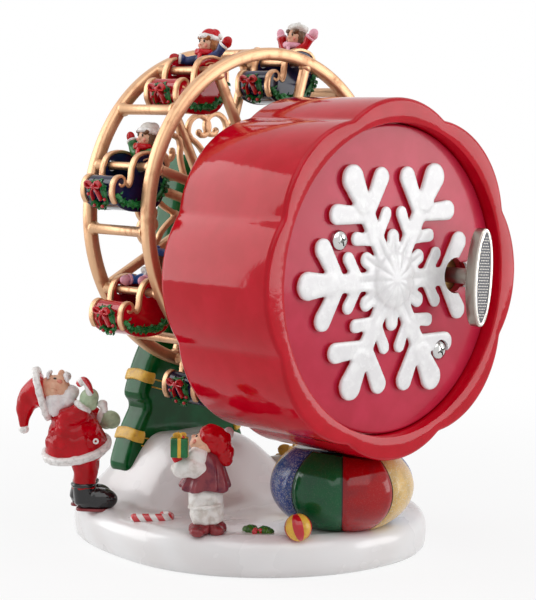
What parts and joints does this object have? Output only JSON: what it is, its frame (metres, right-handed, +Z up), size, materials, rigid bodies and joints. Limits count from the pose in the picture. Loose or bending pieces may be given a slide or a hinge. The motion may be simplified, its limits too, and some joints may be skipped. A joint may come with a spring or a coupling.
{
  "type": "musical_ferris_wheel",
  "caption": "Wind-up musical ferris wheel with eight sleigh gondolas, a red drum on a ball ornament, a tree support and a snow base",
  "frame": {"origin": "Centre of the snow base's flat underside, which is the plane the object stands on.", "axes": "+Z up, away from the surface it stands on. +Y towards the drum's back cover with the snowflake and the winding key. -Y towards the wheel and the tree. +X to the right seen from the tree's side. The wheel turns about +Y."},
  "size_m": [0.1088, 0.1201, 0.1518],
  "materials": {
    "snow": "satin",
    "ball_paint": "gloss",
    "drum_red": "high gloss",
    "cover_red": "satin",
    "screw_chrome": "polished",
    "key_nickel": "brushed",
    "movement_brass": "satin",
    "movement_steel": "satin",
    "antique_gold": "antique gold",
    "tree_green": "high gloss",
    "sleigh_navy": "gloss",
    "sleigh_red": "gloss",
    "doll_paint": "painted satin",
    "figure_paint": "painted satin",
    "candy_white": "gloss",
    "holly_green": "satin",
    "gift_paint": "satin"
  },
  "bodies": {
    "root": {"snow_base": "snow", "support_ball": "ball_paint", "drum_housing": "drum_red", "back_cover": "cover_red", "cover_screw_upper": "screw_chrome", "cover_screw_lower": "screw_chrome", "tree_support": "tree_green", "movement_bedplate": "movement_brass", "movement_bridge": "movement_brass", "spring_barrel": "movement_steel", "comb": "movement_steel", "santa_figure": "figure_paint", "elf_figure": "figure_paint", "elf_gift": "gift_paint", "small_ball": "ball_paint", "candy_cane": "candy_white", "holly_sprig": "holly_green", "gift_box_large": "candy_white", "gift_box_small": "gift_paint"},
    "key": {"winding_key": "key_nickel"},
    "great_wheel": {"great_gear": "movement_brass"},
    "cylinder": {"music_cylinder": "movement_brass"},
    "air_brake": {"governor": "movement_brass"},
    "wheel": {"wheel_axle": "movement_steel", "axle_gear": "movement_brass", "front_wheel_frame": "antique_gold", "rear_wheel_frame": "antique_gold", "gondola_rod_1": "antique_gold", "gondola_rod_2": "antique_gold", "gondola_rod_3": "antique_gold", "gondola_rod_4": "antique_gold", "gondola_rod_5": "antique_gold", "gondola_rod_6": "antique_gold", "gondola_rod_7": "antique_gold", "gondola_rod_8": "antique_gold", "tie_bar_1": "antique_gold", "tie_bar_2": "antique_gold", "tie_bar_3": "antique_gold", "tie_bar_4": "antique_gold", "tie_bar_5": "antique_gold", "tie_bar_6": "antique_gold", "tie_bar_7": "antique_gold", "tie_bar_8": "antique_gold"},
    "gondola_1": {"sleigh_1": "sleigh_navy", "passenger_1": "doll_paint"},
    "gondola_2": {"sleigh_2": "sleigh_red", "passenger_2": "doll_paint"},
    "gondola_3": {"sleigh_3": "sleigh_navy", "passenger_3": "doll_paint"},
    "gondola_4": {"sleigh_4": "sleigh_red", "passenger_4": "doll_paint"},
    "gondola_5": {"sleigh_5": "sleigh_navy", "passenger_5": "doll_paint"},
    "gondola_6": {"sleigh_6": "sleigh_red", "passenger_6": "doll_paint"},
    "gondola_7": {"sleigh_7": "sleigh_navy", "passenger_7": "doll_paint"},
    "gondola_8": {"sleigh_8": "sleigh_red", "passenger_8": "doll_paint"}
  },
  "joints": [
    {"name": "wheel_spin", "type": "hinge", "parent": "root", "child": "wheel", "pos_m": [0, 0, 0.0954], "axis": [0, 1, 0], "continuous": true},
    {"name": "key_turn", "type": "hinge", "parent": "root", "child": "key", "pos_m": [-0.0252, 0, 0.0798], "axis": [0, 1, 0], "continuous": true},
    {"name": "great_gear_turn", "type": "hinge", "parent": "root", "child": "great_wheel", "pos_m": [-0.0252, 0, 0.0798], "axis": [0, 1, 0], "continuous": true},
    {"name": "cylinder_turn", "type": "hinge", "parent": "root", "child": "cylinder", "pos_m": [-0.01295, 0, 0.0652], "axis": [0, 1, 0], "continuous": true},
    {"name": "governor_turn", "type": "hinge", "parent": "root", "child": "air_brake", "pos_m": [-0.00766, 0, 0.05604], "axis": [0, 1, 0], "continuous": true},
    {"name": "gondola_1_swing", "type": "hinge", "parent": "wheel", "child": "gondola_1", "pos_m": [0.04311, -0.0044, 0.10899], "axis": [0, 1, 0], "continuous": true},
    {"name": "gondola_2_swing", "type": "hinge", "parent": "wheel", "child": "gondola_2", "pos_m": [0.02087, -0.0044, 0.13549], "axis": [0, 1, 0], "continuous": true},
    {"name": "gondola_3_swing", "type": "hinge", "parent": "wheel", "child": "gondola_3", "pos_m": [-0.01359, -0.0044, 0.13851], "axis": [0, 1, 0], "continuous": true},
    {"name": "gondola_4_swing", "type": "hinge", "parent": "wheel", "child": "gondola_4", "pos_m": [-0.04009, -0.0044, 0.11627], "axis": [0, 1, 0], "continuous": true},
    {"name": "gondola_5_swing", "type": "hinge", "parent": "wheel", "child": "gondola_5", "pos_m": [-0.04311, -0.0044, 0.08181], "axis": [0, 1, 0], "continuous": true},
    {"name": "gondola_6_swing", "type": "hinge", "parent": "wheel", "child": "gondola_6", "pos_m": [-0.02087, -0.0044, 0.05531], "axis": [0, 1, 0], "continuous": true},
    {"name": "gondola_7_swing", "type": "hinge", "parent": "wheel", "child": "gondola_7", "pos_m": [0.01359, -0.0044, 0.05229], "axis": [0, 1, 0], "continuous": true},
    {"name": "gondola_8_swing", "type": "hinge", "parent": "wheel", "child": "gondola_8", "pos_m": [0.04009, -0.0044, 0.07453], "axis": [0, 1, 0], "continuous": true}
  ],
  "couplings": [
    {"joint": "great_gear_turn", "follows": "wheel_spin", "ratio": -1.3333},
    {"joint": "cylinder_turn", "follows": "wheel_spin", "ratio": 2.6667},
    {"joint": "governor_turn", "follows": "wheel_spin", "ratio": -4},
    {"joint": "gondola_1_swing", "follows": "wheel_spin", "ratio": -1},
    {"joint": "gondola_2_swing", "follows": "wheel_spin", "ratio": -1},
    {"joint": "gondola_3_swing", "follows": "wheel_spin", "ratio": -1},
    {"joint": "gondola_4_swing", "follows": "wheel_spin", "ratio": -1},
    {"joint": "gondola_5_swing", "follows": "wheel_spin", "ratio": -1},
    {"joint": "gondola_6_swing", "follows": "wheel_spin", "ratio": -1},
    {"joint": "gondola_7_swing", "follows": "wheel_spin", "ratio": -1},
    {"joint": "gondola_8_swing", "follows": "wheel_spin", "ratio": -1}
  ]
}
